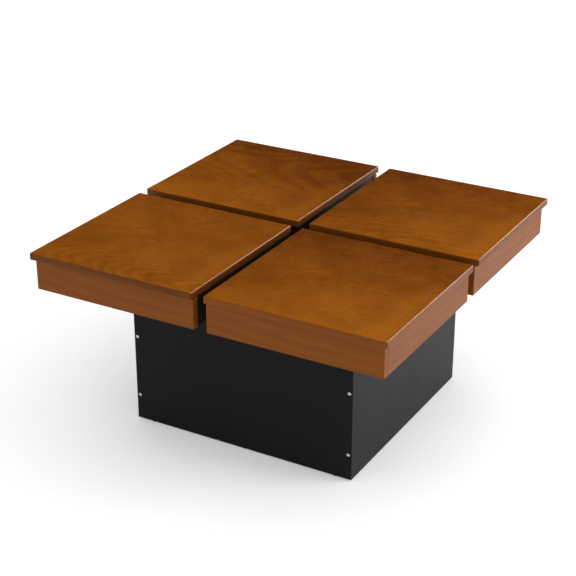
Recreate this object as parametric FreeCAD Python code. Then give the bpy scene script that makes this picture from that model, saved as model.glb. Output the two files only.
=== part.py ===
import FreeCAD, Part
import math
import os

# Square coffee table: four lift-top quadrants on a black box base.
# Millimetres, +Z up. The origin is on the floor under the middle of the table.
# X runs along the front edge and the front faces -Y.

# ---- Driving dimensions ----------------------------------------------------
OVERALL = 828.0          # side of the square top
LID_GAP = 28.0           # width of the cross-shaped gap between the four lids
TOP_HEIGHT = 430.0       # floor to the lids' top faces
LID_THICK = 16.0
LID_EDGE_ROUND = 1.5
OVERHANG = 9.0           # lid beyond the outer faces of its tray
END_SETBACK = 1.0        # board ends behind the lid's edge, in the gap
WALL_SETBACK = 3.0       # inner walls behind the lid's edge, in the gap
BOARD = 16.0             # thickness of every upright board and base panel
BOARD_HEIGHT = 66.0
RIM_CLEARANCE = 2.0      # tray rim to the closed lid, filled by rubber bumpers
TRAY_BOTTOM_THICK = 9.0

BASE_WIDTH = 536.0       # along X
BASE_DEPTH = 518.0       # along Y
GLIDE_HEIGHT = 3.0
GLIDE_RADIUS = 7.0
GLIDE_INSET = 40.0       # glide centre from the panel's end

BUMPER_RADIUS = 4.0
BUMPER_INSET = 26.0      # bumper centre from the tray's corner
BUMPER_CLEARANCE = 0.1

# Lift linkage, seen from the side: v runs from the tray's outer wall towards
# the middle of the table, z up from the tray floor, u inboard from a side wall.
ARM_LENGTH = 170.0
ARM_MAX_DEG = 110.0
FRONT_PIVOT = (70.0, 36.0)
REAR_PIVOT = (150.0, 14.0)
ARM_HALF = 9.0           # half the width of an arm
ARM_LAYER = (3.0, 7.0)
BASE_PLATE = 2.5         # steel thickness of the brackets
BASE_FLANGE = 30.0
BASE_PLATE_OUTLINE = ((42, 0), (168, 0), (168, 20), (160, 28), (132, 32),
                      (98, 45), (86, 54.5), (50, 54.5), (42, 46))
LID_PLATE_LAYER = (7.5, 10.0)
LID_FLANGE = 30.0
LID_PLATE_OUTLINE = ((228, 59), (228, 30), (234, 24), (300, 8), (308, 3),
                     (328, 3), (334, 9), (334, 59))
RIVET_RADIUS = 4.0
RIVET_FIT = 0.05         # running clearance round a rivet
RIVET_HEAD = (7.0, 2.2)  # radius and height
TAIL_RADIUS = 25.0       # spring stud on the front arm, from the front pivot
TAIL_REST_DEG = -145.0
TAIL_HALF = 6.0
STUD_RADIUS = 3.0
STUD_END = 17.5          # free end of the spring studs, inboard of the wall
STUD_HEAD = (4.5, 1.5)
ANCHOR_V = 130.0
STOP_RADIUS = 3.0
STOP_REACH = 22.0        # stop pin from the front pivot
STOP_CLEARANCE = 0.2
SPRING_OUTER = 4.6
SPRING_WIRE = 1.4
SPRING_U = 13.0          # spring axis, inboard of the wall
SPRING_RING_PLAY = 0.3   # end ring round its stud
SPRING_COIL_START = 5.6  # coil's end from the stud's axis
SPRING_NECK = 0.6        # radius of the wire between ring and coil
TUBE_OUTER = 6.0         # radius of the cross tube
TUBE_INNER = 4.8
TUBE_REACH = 36.0        # cross tube from the front pivot, along the arm

# Screws: shank radius, head radius, head height.
WOOD_SCREW = (2.0, 4.0, 1.2)
SMALL_SCREW = (1.75, 4.0, 2.0)
PANEL_SCREW_LENGTH = 40.0
PANEL_SCREW_HEIGHTS = (62.0, 206.0, 310.0)
TOP_SCREW_PLACES = (-180.0, 0.0, 180.0)
TRAY_SCREW_LENGTH = 23.0
TRAY_SCREW_PLACES = ((72.0, 72.0), (226.0, 72.0), (72.0, 218.0), (226.0, 218.0))
BRACKET_SCREW_U = 21.0
BRACKET_SCREW_V = (52.0, 104.0, 158.0)
BRACKET_SCREW_LENGTH = 8.5
LID_SCREW_U = 26.0
LID_SCREW_V = (242.0, 281.0, 320.0)
LID_SCREW_LENGTH = 14.0

# ---- Levels and edges worked out from them ---------------------------------
LID_IN = LID_GAP / 2
LID_OUT = OVERALL / 2
LID_UNDER = TOP_HEIGHT - LID_THICK
RIM = LID_UNDER - RIM_CLEARANCE
TRAY_UNDER = RIM - BOARD_HEIGHT
TRAY_FLOOR = TRAY_UNDER + TRAY_BOTTOM_THICK
BOARD_OUT = LID_OUT - OVERHANG
TRAY_OUT = BOARD_OUT - BOARD
BOARD_END = LID_IN + END_SETBACK
WALL_FACE = LID_IN + WALL_SETBACK
TRAY_IN = WALL_FACE + BOARD
LID_UNDER_Z = LID_UNDER - TRAY_FLOOR
LID_PIVOTS = tuple((v + ARM_LENGTH, z) for v, z in (FRONT_PIVOT, REAR_PIVOT))

# A point of the table in a quadrant is (a, b): distances from the middle along
# X and Y. The signs turn them into the quadrant's own corner of the table.
QUADRANTS = {
    "front_left": (-1, -1),
    "front_right": (1, -1),
    "back_left": (-1, 1),
    "back_right": (1, 1),
}
# The two side walls that carry a linkage: wall face and the way inboard.
SIDES = ((TRAY_IN, 1), (TRAY_OUT, -1))
UP = FreeCAD.Vector(0, 0, 1)


# ---- Helpers ---------------------------------------------------------------
def save(name, solids):
    """Write one node: a single solid, or a group of separate solids."""
    shape = solids[0] if len(solids) == 1 else Part.makeCompound(solids)
    shape.exportStep("parts/" + name + ".step")


def block(low, high):
    """An axis-aligned block between two corners, in any order."""
    corner = [min(p, q) for p, q in zip(low, high)]
    size = [abs(p - q) for p, q in zip(low, high)]
    return Part.makeBox(size[0], size[1], size[2], FreeCAD.Vector(*corner))


def quad_block(signs, a, b, z):
    """A block in one quadrant, from (low, high) pairs of a, b and z."""
    sx, sy = signs
    return block((sx * a[0], sy * b[0], z[0]), (sx * a[1], sy * b[1], z[1]))


def spot(signs, side, u, v, z):
    """A point of the linkage: u off the wall, v from the outer wall, z up."""
    wall, inboard = side
    return FreeCAD.Vector(signs[0] * (wall + inboard * u),
                          signs[1] * (TRAY_OUT - v), TRAY_FLOOR + z)


def extrude(signs, side, edges, layer):
    """Thicken a closed outline, drawn at layer[0], up to layer[1]."""
    face = Part.Face(Part.Wire(edges))
    reach = spot(signs, side, layer[1], 0, 0) - spot(signs, side, layer[0], 0, 0)
    return face.extrude(reach)


def plate(signs, side, layer, outline):
    """A flat steel plate with a straight-sided outline of (v, z) points."""
    points = [spot(signs, side, layer[0], v, z) for v, z in outline]
    edges = [Part.makeLine(p, q) for p, q in zip(points, points[1:] + points[:1])]
    return extrude(signs, side, edges, layer)


def link(signs, side, layer, start, end, half):
    """A flat bar with round ends, centred on start and end."""
    length = math.hypot(end[0] - start[0], end[1] - start[1])
    along = ((end[0] - start[0]) / length, (end[1] - start[1]) / length)

    def at(centre, forward, left):
        v = centre[0] + half * (forward * along[0] - left * along[1])
        z = centre[1] + half * (forward * along[1] + left * along[0])
        return spot(signs, side, layer[0], v, z)

    far = Part.Arc(at(end, 0, 1), at(end, 1, 0), at(end, 0, -1)).toShape()
    near = Part.Arc(at(start, 0, -1), at(start, -1, 0), at(start, 0, 1)).toShape()
    edges = [Part.makeLine(at(start, 0, 1), at(end, 0, 1)), far,
             Part.makeLine(at(end, 0, -1), at(start, 0, -1)), near]
    return extrude(signs, side, edges, layer)


def rod(signs, side, layer, centre, radius):
    """A round bar across the table, from layer[0] to layer[1] off the wall."""
    start = spot(signs, side, layer[0], centre[0], centre[1])
    end = spot(signs, side, layer[1], centre[0], centre[1])
    return Part.makeCylinder(radius, (end - start).Length, start, end - start)


def round_between(start, end, radius):
    """A round bar from one point to another."""
    return Part.makeCylinder(radius, (end - start).Length, start, end - start)


def screw(head_face, drive, length, kind):
    """A screw whose head sits on head_face and whose shank goes along drive."""
    shank_radius, head_radius, head_height = kind
    rim = Part.makeCylinder(head_radius, head_height, head_face, drive * -1)
    shank = Part.makeCylinder(shank_radius, length, head_face, drive)
    return rim.fuse(shank).removeSplitter()


def polar(centre, reach, degrees):
    """A (v, z) point at a distance and an angle from a pivot."""
    turn = math.radians(degrees)
    return (centre[0] + reach * math.cos(turn), centre[1] + reach * math.sin(turn))


# ---- Places that several pieces share --------------------------------------
TAIL = polar(FRONT_PIVOT, TAIL_RADIUS, TAIL_REST_DEG)
ANCHOR = (ANCHOR_V, TAIL[1])
STOP_ANGLE = ARM_MAX_DEG + math.degrees(
    math.asin((ARM_HALF + STOP_RADIUS + STOP_CLEARANCE) / STOP_REACH))
STOP = polar(FRONT_PIVOT, STOP_REACH, STOP_ANGLE)
LID_FLANGE_FACE = LID_UNDER_Z - BASE_PLATE


def lid_screw_heads(signs):
    """Where the lid screws' heads meet the lid brackets' flanges."""
    return [spot(signs, side, LID_SCREW_U, v, LID_FLANGE_FACE)
            for side in SIDES for v in LID_SCREW_V]


def bracket_screw_heads(signs):
    """Where the hinge bracket screws' heads meet their flanges."""
    return [spot(signs, side, BRACKET_SCREW_U, v, BASE_PLATE)
            for side in SIDES for v in BRACKET_SCREW_V]


def tray_screw_heads(signs):
    """Where the tray screws' heads meet the underside of the base's top."""
    return [FreeCAD.Vector(signs[0] * a, signs[1] * b, TRAY_UNDER - BOARD)
            for a, b in TRAY_SCREW_PLACES]


# ---- Lids and what moves with them ------------------------------------------
def lid(signs):
    """The veneered lid, with soft edges and pilot holes for its brackets."""
    span = (LID_IN, LID_OUT)
    board = quad_block(signs, span, span, (LID_UNDER, TOP_HEIGHT))
    board = board.makeFillet(LID_EDGE_ROUND, board.Edges)
    for head in lid_screw_heads(signs):
        board = board.cut(Part.makeCylinder(WOOD_SCREW[0], LID_SCREW_LENGTH, head, UP))
    return board


def lid_bracket(signs, side):
    """Angle bracket: a flange under the lid and a plate down to the pivots."""
    upright = plate(signs, side, LID_PLATE_LAYER, LID_PLATE_OUTLINE)
    v_near, v_far = LID_PLATE_OUTLINE[0][0], LID_PLATE_OUTLINE[-1][0]
    flange = block(spot(signs, side, LID_PLATE_LAYER[0], v_near, LID_FLANGE_FACE),
                   spot(signs, side, LID_PLATE_LAYER[0] + LID_FLANGE, v_far, LID_UNDER_Z))
    bracket = upright.fuse(flange).removeSplitter()
    for pivot in LID_PIVOTS:
        bracket = bracket.cut(rod(signs, side, LID_PLATE_LAYER, pivot, RIVET_RADIUS))
    for v in LID_SCREW_V:
        start = spot(signs, side, LID_SCREW_U, v, LID_FLANGE_FACE)
        bracket = bracket.cut(Part.makeCylinder(WOOD_SCREW[0], BASE_PLATE, start, UP))
    return bracket


def lid_rivet(signs, side, pivot):
    """A rivet fast in the lid bracket, with an arm turning on it."""
    wall_face = ARM_LAYER[0] - RIVET_FIT
    shank = rod(signs, side, (wall_face, LID_PLATE_LAYER[1]), pivot, RIVET_RADIUS)
    inner_head = rod(signs, side, (LID_PLATE_LAYER[1], LID_PLATE_LAYER[1] + RIVET_HEAD[1]),
                     pivot, RIVET_HEAD[0])
    outer_head = rod(signs, side, (wall_face - RIVET_HEAD[1], wall_face),
                     pivot, RIVET_HEAD[0])
    return shank.fuse([inner_head, outer_head]).removeSplitter()


# ---- Arms -------------------------------------------------------------------
def pivot_holes(signs, side, start, end):
    """Running holes at both ends of an arm."""
    return [rod(signs, side, ARM_LAYER, centre, RIVET_RADIUS + RIVET_FIT)
            for centre in (start, end)]


def front_arms(signs):
    """Both front arms with their spring tails, welded to the cross tube."""
    pieces = []
    holes = []
    tube_centre = (FRONT_PIVOT[0] + TUBE_REACH, FRONT_PIVOT[1])
    for side in SIDES:
        pieces.append(link(signs, side, ARM_LAYER, FRONT_PIVOT, LID_PIVOTS[0], ARM_HALF))
        pieces.append(link(signs, side, ARM_LAYER, FRONT_PIVOT, TAIL, TAIL_HALF))
        pieces.append(rod(signs, side, (ARM_LAYER[1], STUD_END), TAIL, STUD_RADIUS))
        pieces.append(rod(signs, side, (STUD_END - STUD_HEAD[1], STUD_END),
                          TAIL, STUD_HEAD[0]))
        holes += pivot_holes(signs, side, FRONT_PIVOT, LID_PIVOTS[0])
    ends = [spot(signs, side, ARM_LAYER[1], *tube_centre) for side in SIDES]
    pieces.append(round_between(ends[0], ends[1], TUBE_OUTER))
    frame = pieces[0].fuse(pieces[1:]).cut(holes)
    return frame.cut(round_between(ends[0], ends[1], TUBE_INNER)).removeSplitter()


def rear_arm(signs, side):
    """A plain rear arm with its two running holes."""
    bar = link(signs, side, ARM_LAYER, REAR_PIVOT, LID_PIVOTS[1], ARM_HALF)
    return bar.cut(pivot_holes(signs, side, REAR_PIVOT, LID_PIVOTS[1]))


# ---- What is fixed in a tray -------------------------------------------------
def hinge_bracket(signs, side):
    """Angle bracket: a plate on the side wall and a flange on the tray floor."""
    layer = (0.0, BASE_PLATE)
    upright = plate(signs, side, layer, BASE_PLATE_OUTLINE)
    v_near, v_far = BASE_PLATE_OUTLINE[0][0], BASE_PLATE_OUTLINE[1][0]
    flange = block(spot(signs, side, 0, v_near, 0),
                   spot(signs, side, BASE_FLANGE, v_far, BASE_PLATE))
    bracket = upright.fuse(flange).removeSplitter()
    for pivot in (FRONT_PIVOT, REAR_PIVOT):
        bracket = bracket.cut(rod(signs, side, layer, pivot, RIVET_RADIUS))
    for pin in (ANCHOR, STOP):
        bracket = bracket.cut(rod(signs, side, layer, pin, STUD_RADIUS))
    for v in BRACKET_SCREW_V:
        start = spot(signs, side, BRACKET_SCREW_U, v, 0)
        bracket = bracket.cut(Part.makeCylinder(SMALL_SCREW[0], BASE_PLATE, start, UP))
    return bracket


def bracket_rivet(signs, side, pivot):
    """A rivet fast in the hinge bracket, with an arm turning on it."""
    shank_end = ARM_LAYER[1] + RIVET_FIT
    shank = rod(signs, side, (0, shank_end), pivot, RIVET_RADIUS)
    head = rod(signs, side, (shank_end, shank_end + RIVET_HEAD[1]), pivot, RIVET_HEAD[0])
    return shank.fuse(head).removeSplitter()


def anchor_stud(signs, side):
    """The fixed stud that holds a spring's inner end."""
    shank = rod(signs, side, (0, STUD_END), ANCHOR, STUD_RADIUS)
    head = rod(signs, side, (STUD_END - STUD_HEAD[1], STUD_END), ANCHOR, STUD_HEAD[0])
    return shank.fuse(head).removeSplitter()


def stop_pin(signs, side):
    """The pin that stops the front arm when the lid is fully raised."""
    return rod(signs, side, (0, ARM_LAYER[1]), STOP, STOP_RADIUS)


def spring(signs, side):
    """An extension spring as a tube, with a ring at each end round its stud."""
    ring_inner = STUD_RADIUS + SPRING_RING_PLAY
    ring_outer = ring_inner + SPRING_WIRE
    layer = (SPRING_U - SPRING_WIRE / 2, SPRING_U + SPRING_WIRE / 2)
    rings = [rod(signs, side, layer, end, ring_outer) for end in (TAIL, ANCHOR)]
    holes = [rod(signs, side, layer, end, ring_inner) for end in (TAIL, ANCHOR)]
    tail, anchor = [spot(signs, side, SPRING_U, *end) for end in (TAIL, ANCHOR)]
    along = (anchor - tail).normalize()
    start = tail + along * SPRING_COIL_START
    end = anchor - along * SPRING_COIL_START
    wire = along * SPRING_WIRE
    coil = round_between(start, end, SPRING_OUTER)
    bore = round_between(start + wire, end - wire, SPRING_OUTER - SPRING_WIRE)
    ring_middle = along * (ring_inner + SPRING_WIRE / 2)
    necks = [round_between(tail + ring_middle, start, SPRING_NECK),
             round_between(end, anchor - ring_middle, SPRING_NECK)]
    return coil.cut(bore).fuse(necks + rings).cut(holes).removeSplitter()


def face_board(signs):
    """The tray's outer board on the front or back, full width of the tray."""
    return quad_block(signs, (BOARD_END, BOARD_OUT), (TRAY_OUT, BOARD_OUT), (TRAY_UNDER, RIM))


def side_board(signs):
    """The tray's outer board on the left or right, butted to the face board."""
    return quad_block(signs, (TRAY_OUT, BOARD_OUT), (BOARD_END, TRAY_OUT), (TRAY_UNDER, RIM))


def inner_walls(signs):
    """The two dark walls that line the cross-shaped gap."""
    level = (TRAY_UNDER, RIM)
    return [quad_block(signs, (WALL_FACE, TRAY_IN), (WALL_FACE, TRAY_OUT), level),
            quad_block(signs, (TRAY_IN, TRAY_OUT), (WALL_FACE, TRAY_IN), level)]


def tray_bottom(signs):
    """The tray's floor, with pilot holes from above and below."""
    span = (TRAY_IN, TRAY_OUT)
    board = quad_block(signs, span, span, (TRAY_UNDER, TRAY_FLOOR))
    for head in bracket_screw_heads(signs):
        board = board.cut(Part.makeCylinder(SMALL_SCREW[0], BRACKET_SCREW_LENGTH, head, UP * -1))
    for head in tray_screw_heads(signs):
        board = board.cut(Part.makeCylinder(WOOD_SCREW[0], TRAY_SCREW_LENGTH, head, UP))
    return board


def rim_bumpers(signs):
    """Four rubber bumpers on the tray's rim, one near each corner."""
    height = RIM_CLEARANCE - BUMPER_CLEARANCE
    near = WALL_FACE + BOARD / 2
    far = BOARD_OUT - BOARD / 2
    places = ((near, near + BUMPER_INSET), (far, near + BUMPER_INSET),
              (near, far - BUMPER_INSET), (far, far - BUMPER_INSET))
    return [Part.makeCylinder(BUMPER_RADIUS, height,
                              FreeCAD.Vector(signs[0] * a, signs[1] * b, RIM))
            for a, b in places]


# ---- Base --------------------------------------------------------------------
def panel_screw_places():
    """Heads on the front and back panels: (head face, driving direction)."""
    edge = BASE_WIDTH / 2 - BOARD / 2
    top_line = TRAY_UNDER - BOARD / 2
    places = [(side * edge, z) for side in (-1, 1) for z in PANEL_SCREW_HEIGHTS]
    places += [(x, top_line) for x in TOP_SCREW_PLACES]
    return [(FreeCAD.Vector(x, face * BASE_DEPTH / 2, z), FreeCAD.Vector(0, -face, 0))
            for face in (-1, 1) for x, z in places]


def base_panels():
    """The four upright panels and the top panel that they carry."""
    half_x, half_y = BASE_WIDTH / 2, BASE_DEPTH / 2
    low, high = GLIDE_HEIGHT, TRAY_UNDER
    panels = {
        "base_front_panel": block((-half_x, -half_y, low), (half_x, BOARD - half_y, high)),
        "base_back_panel": block((-half_x, half_y, low), (half_x, half_y - BOARD, high)),
        "base_left_panel": block((-half_x, BOARD - half_y, low),
                                 (BOARD - half_x, half_y - BOARD, high)),
        "base_right_panel": block((half_x, BOARD - half_y, low),
                                  (half_x - BOARD, half_y - BOARD, high)),
        "base_top_panel": block((BOARD - half_x, BOARD - half_y, high - BOARD),
                                (half_x - BOARD, half_y - BOARD, high)),
    }
    shanks = [Part.makeCylinder(WOOD_SCREW[0], PANEL_SCREW_LENGTH, head, drive)
              for head, drive in panel_screw_places()]
    for signs in QUADRANTS.values():
        for head in tray_screw_heads(signs):
            shanks.append(Part.makeCylinder(WOOD_SCREW[0], TRAY_SCREW_LENGTH, head, UP))
    return {name: panel.cut(shanks) for name, panel in panels.items()}


def floor_glides():
    """Plastic glides under the panels, two to each."""
    x_line = BASE_WIDTH / 2 - BOARD / 2
    y_line = BASE_DEPTH / 2 - BOARD / 2
    x_end = BASE_WIDTH / 2 - GLIDE_INSET
    y_end = BASE_DEPTH / 2 - BOARD - GLIDE_INSET
    places = [(i * x_end, j * y_line) for i in (-1, 1) for j in (-1, 1)]
    places += [(i * x_line, j * y_end) for i in (-1, 1) for j in (-1, 1)]
    return [Part.makeCylinder(GLIDE_RADIUS, GLIDE_HEIGHT, FreeCAD.Vector(x, y, 0))
            for x, y in places]


# ---- Write every node ----------------------------------------------------------
os.makedirs("parts", exist_ok=True)

shared = {"bracket_rivets": [], "bracket_pins": [], "bracket_screws": [],
          "tray_screws": [], "rim_bumpers": []}

for name, signs in QUADRANTS.items():
    save(name + "_lid", [lid(signs)])
    save(name + "_lid_brackets", [lid_bracket(signs, side) for side in SIDES])
    save(name + "_lid_screws", [screw(head, UP, LID_SCREW_LENGTH, WOOD_SCREW)
                                for head in lid_screw_heads(signs)])
    save(name + "_lid_rivets", [lid_rivet(signs, side, pivot)
                                for side in SIDES for pivot in LID_PIVOTS])
    save(name + "_front_arms", [front_arms(signs)])
    save(name + "_rear_arms", [rear_arm(signs, side) for side in SIDES])
    save(name + "_springs", [spring(signs, side) for side in SIDES])
    save(name + "_hinge_brackets", [hinge_bracket(signs, side) for side in SIDES])
    save(name + "_face_board", [face_board(signs)])
    save(name + "_side_board", [side_board(signs)])
    save(name + "_inner_walls", inner_walls(signs))
    save(name + "_tray_bottom", [tray_bottom(signs)])

    for side in SIDES:
        for pivot in (FRONT_PIVOT, REAR_PIVOT):
            shared["bracket_rivets"].append(bracket_rivet(signs, side, pivot))
        shared["bracket_pins"] += [anchor_stud(signs, side), stop_pin(signs, side)]
    shared["bracket_screws"] += [screw(head, UP * -1, BRACKET_SCREW_LENGTH, SMALL_SCREW)
                                 for head in bracket_screw_heads(signs)]
    shared["tray_screws"] += [screw(head, UP, TRAY_SCREW_LENGTH, WOOD_SCREW)
                              for head in tray_screw_heads(signs)]
    shared["rim_bumpers"] += rim_bumpers(signs)

for name, solids in shared.items():
    save(name, solids)
for name, panel in base_panels().items():
    save(name, [panel])
save("base_screws", [screw(head, drive, PANEL_SCREW_LENGTH, WOOD_SCREW)
                     for head, drive in panel_screw_places()])
save("floor_glides", floor_glides())
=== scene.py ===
import math

import bmesh
import bpy
from bpy.props import FloatProperty, FloatVectorProperty, IntProperty, PointerProperty
from mathutils import Euler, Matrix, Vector


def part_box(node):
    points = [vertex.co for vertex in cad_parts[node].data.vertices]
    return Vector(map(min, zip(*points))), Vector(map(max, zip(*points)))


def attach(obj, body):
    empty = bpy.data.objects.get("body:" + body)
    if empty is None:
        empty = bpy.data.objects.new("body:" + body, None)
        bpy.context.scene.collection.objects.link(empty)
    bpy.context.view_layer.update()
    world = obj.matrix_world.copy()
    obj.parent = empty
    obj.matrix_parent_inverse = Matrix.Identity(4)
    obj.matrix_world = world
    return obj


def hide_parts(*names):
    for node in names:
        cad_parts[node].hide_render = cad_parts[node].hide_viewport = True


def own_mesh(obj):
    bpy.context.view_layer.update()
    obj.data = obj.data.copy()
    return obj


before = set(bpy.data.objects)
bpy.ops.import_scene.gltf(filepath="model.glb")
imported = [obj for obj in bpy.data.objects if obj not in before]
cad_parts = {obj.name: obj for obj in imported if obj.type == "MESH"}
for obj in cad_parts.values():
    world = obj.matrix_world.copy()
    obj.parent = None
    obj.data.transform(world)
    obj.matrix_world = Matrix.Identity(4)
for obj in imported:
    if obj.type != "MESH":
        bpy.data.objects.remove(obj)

# The looks of a square coffee table in four lift-up quadrants on a black base.
# Everything is in metres, in the frame's own axes: the front faces -Y, +Z is up.

bl_info = {
    "name": "Lift top coffee table",
    "version": (1, 0, 0),
    "blender": (4, 5, 0),
    "location": "3D View > Sidebar > Table",
    "description": "Veneered boards, black panels and lift hardware around a CAD frame",
    "category": "Object",
}

MM = 0.001
QUARTER_TURN = math.pi / 2
SAME_PLACE = 0.001 * MM
WALL_THICK = 16.0 * MM
QUADRANTS = ("front_left", "front_right", "back_left", "back_right")
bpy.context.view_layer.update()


# ---- Sizes and colours a user would change ------------------------------------
def colour_setting(name, description, default):
    """A colour that a user can pick."""
    return FloatVectorProperty(name=name, description=description, default=default,
                               subtype="COLOR")


def length_setting(name, description, default):
    """A length that a user can set."""
    return FloatProperty(name=name, description=description, default=default, unit="LENGTH")


class LIFTTABLE_PG_wood(bpy.types.PropertyGroup):
    lid_round: length_setting("Lid rounding", "Radius of a lid's edges", 2.6 * MM)
    board_round: length_setting("Board rounding", "Radius of the tray boards' edges", 0.9 * MM)
    top_dark: colour_setting("Top, dark grain", "Late wood of the lids' veneer",
                             (0.112, 0.025, 0.0003))
    top_mid: colour_setting("Top, ground", "Ground colour of the lids' veneer",
                            (0.214, 0.057, 0.0006))
    top_light: colour_setting("Top, light grain", "Early wood of the lids' veneer",
                              (0.325, 0.098, 0.0010))
    side_dark: colour_setting("Sides, dark grain", "Late wood of the tray boards",
                              (0.115, 0.030, 0.002))
    side_mid: colour_setting("Sides, ground", "Ground colour of the tray boards",
                             (0.168, 0.047, 0.004))
    side_light: colour_setting("Sides, light grain", "Early wood of the tray boards",
                               (0.215, 0.066, 0.006))
    ring_density: FloatProperty(
        name="Rings", description="Growth rings per metre across the log",
        default=95.0, min=10.0, max=400.0)


class LIFTTABLE_PG_base(bpy.types.PropertyGroup):
    panel_round: length_setting("Panel rounding", "Radius of the black panels' edges", 0.7 * MM)
    black: colour_setting("Laminate", "Colour of the black melamine", (0.003, 0.003, 0.003))
    # The lining is the black melamine made lighter and browner: a painted reflection of the wooden
    # boards' light inside the trays and gaps.
    lining: colour_setting("Tray lining", "Colour inside the trays and in the gaps",
                           (0.014, 0.010, 0.007))
    worn: colour_setting("Laminate, rubbed", "Colour where edges are rubbed", (0.016, 0.016, 0.016))


class LIFTTABLE_PG_metal(bpy.types.PropertyGroup):
    bend: length_setting("Steel edge", "Rounding of the stamped steel's edges", 0.35 * MM)
    paint: colour_setting("Powder coat", "Colour of the arms and brackets", (0.020, 0.020, 0.022))
    zinc: colour_setting("Zinc", "Colour of screws, rivets and pins", (0.60, 0.60, 0.58))
    spring_turns: IntProperty(
        name="Spring turns", description="Turns in each extension spring",
        default=17, min=4, max=40)
    wire_radius: length_setting("Wire radius", "Half the spring wire's thickness", 0.7 * MM)


class LIFTTABLE_PG_stage(bpy.types.PropertyGroup):
    floor: colour_setting("Floor", "Colour of the plain floor", (0.88, 0.88, 0.88))
    ambient: FloatProperty(
        name="Ambient", description="Strength of the even light from all round",
        default=1.04, min=0.0, max=5.0)
    glow: FloatProperty(
        name="Floor glow", description="Light that the floor itself gives off",
        default=0.20, min=0.0, max=2.0)
    window: FloatProperty(
        name="Window", description="Brightness of the far window in reflections",
        default=8.0, min=0.0, max=20.0)
    key: FloatProperty(
        name="Key light", description="Power of the large light on the right",
        default=36.0, unit="POWER")


PROPERTY_GROUPS = {
    "lifttable_wood": LIFTTABLE_PG_wood,
    "lifttable_base": LIFTTABLE_PG_base,
    "lifttable_metal": LIFTTABLE_PG_metal,
    "lifttable_stage": LIFTTABLE_PG_stage,
}


# ---- Pieces and meshes ---------------------------------------------------------
def add_piece(mesh, body, nodes=()):
    """Put a finished mesh in the scene, by its own name, as a piece that rides on a
    CAD body."""
    piece = bpy.data.objects.new(mesh.name, mesh)
    bpy.context.scene.collection.objects.link(piece)
    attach(piece, body)
    if nodes:
        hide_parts(*nodes)
    return piece


def mesh_from(bm, name, materials):
    """Turn a bmesh into a mesh with its materials, and free it."""
    mesh = bpy.data.meshes.new(name)
    bm.to_mesh(mesh)
    bm.free()
    for material in materials:
        mesh.materials.append(material)
    return mesh


def solids_of(node):
    """Each separate solid of a CAD node, as a merged copy in its own bmesh."""
    whole = bmesh.new()
    whole.from_mesh(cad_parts[node].data)
    bmesh.ops.remove_doubles(whole, verts=whole.verts, dist=SAME_PLACE)
    left = set(whole.verts)
    solids = []
    while left:
        island = {left.pop()}
        front = list(island)
        while front:
            vert = front.pop()
            for edge in vert.link_edges:
                other = edge.other_vert(vert)
                if other in left:
                    left.discard(other)
                    island.add(other)
                    front.append(other)
        solid = whole.copy()
        keep = {vert.index for vert in island}
        solid.verts.ensure_lookup_table()
        gone = [vert for vert in solid.verts if vert.index not in keep]
        bmesh.ops.delete(solid, geom=gone, context="VERTS")
        solids.append(solid)
    whole.free()
    return solids


def span(bm):
    """Lowest and highest corner of a bmesh."""
    lows = [min(vert.co[axis] for vert in bm.verts) for axis in range(3)]
    highs = [max(vert.co[axis] for vert in bm.verts) for axis in range(3)]
    return Vector(lows), Vector(highs)


def boxes_of(node):
    """The box of each solid of a CAD node, in a fixed order."""
    solids = solids_of(node)
    boxes = sorted((span(solid) for solid in solids), key=lambda box: tuple(box[0]))
    for solid in solids:
        solid.free()
    return boxes


def rounded_board(bm, low, high, radius, segments=3):
    """Add a board with rounded edges. Each point keeps its place in the board,
    so that a finish can tell how far it is from the nearest edge."""
    made = bmesh.ops.create_cube(bm, size=1.0)["verts"]
    middle, half = (low + high) / 2, (high - low) / 2
    for vert in made:
        vert.co = middle + Vector(2 * vert.co[axis] * half[axis] for axis in range(3))
    edges = list({edge for vert in made for edge in vert.link_edges})
    bevelled = bmesh.ops.bevel(bm, geom=edges, offset=radius, segments=segments,
                               profile=0.5, affect="EDGES")
    for face in bevelled["faces"]:
        face.smooth = True
    place = bm.verts.layers.float_vector.get("board_place")
    size = bm.verts.layers.float_vector.get("board_half")
    for vert in bevelled["verts"]:
        vert[place] = vert.co - middle
        vert[size] = half


def board_mesh(name, boxes, radius, materials, top_slot=0, edge_slot=None):
    """One mesh of rounded boards. Faces that look along Z, and the roundings next
    to them, take top_slot; the narrow faces take edge_slot."""
    bm = bmesh.new()
    bm.verts.layers.float_vector.new("board_place")
    bm.verts.layers.float_vector.new("board_half")
    for low, high in boxes:
        rounded_board(bm, low, high, radius)
    if edge_slot is not None:
        for face in bm.faces:
            face.material_index = top_slot if abs(face.normal.z) > 0.3 else edge_slot
    return mesh_from(bm, name, materials)


def corner_walls(low, high, thick):
    """The boxes of two walls that meet at the corner nearest the table's middle."""
    near = [min((low[axis], high[axis]), key=abs) for axis in (0, 1)]
    far = [max((low[axis], high[axis]), key=abs) for axis in (0, 1)]
    inner = [near[axis] + math.copysign(thick, far[axis]) for axis in (0, 1)]
    corners = (((near[0], near[1]), (inner[0], far[1])),
               ((inner[0], near[1]), (far[0], inner[1])))
    return [(Vector((min(a[0], b[0]), min(a[1], b[1]), low.z)),
             Vector((max(a[0], b[0]), max(a[1], b[1]), high.z))) for a, b in corners]


def evaluated_mesh(carrier, name):
    """The plain mesh that an object's modifiers make."""
    bpy.context.view_layer.update()
    graph = bpy.context.evaluated_depsgraph_get()
    mesh = bpy.data.meshes.new_from_object(carrier.evaluated_get(graph))
    mesh.name = name
    return mesh


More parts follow.
